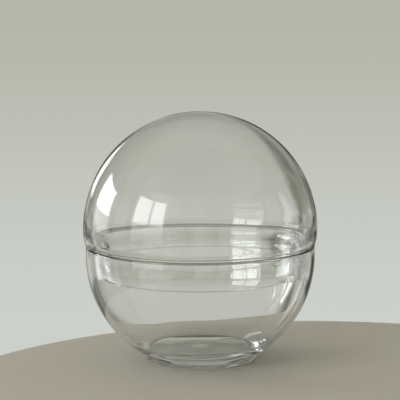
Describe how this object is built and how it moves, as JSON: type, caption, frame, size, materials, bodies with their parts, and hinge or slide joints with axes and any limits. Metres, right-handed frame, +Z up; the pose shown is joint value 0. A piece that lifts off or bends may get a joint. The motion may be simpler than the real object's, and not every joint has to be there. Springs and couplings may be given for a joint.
{
  "type": "glass globe terrarium",
  "caption": "Clear glass globe terrarium: an open round bowl on a low foot ring, closed by a lift-off domed lid whose collar hangs inside the bowl's rim.",
  "frame": {"origin": "centre of the foot ring's contact plane, on the globe's axis", "axes": "+Z up along the globe's axis of rotation; the globe is round, so +X and +Y are alike"},
  "size_m": [0.234, 0.234, 0.2494],
  "materials": {
    "clear_glass": "fire-polished clear soda-lime glass"
  },
  "bodies": {
    "root": {"bowl": "clear_glass", "dome_lid": "clear_glass"}
  },
  "joints": []
}
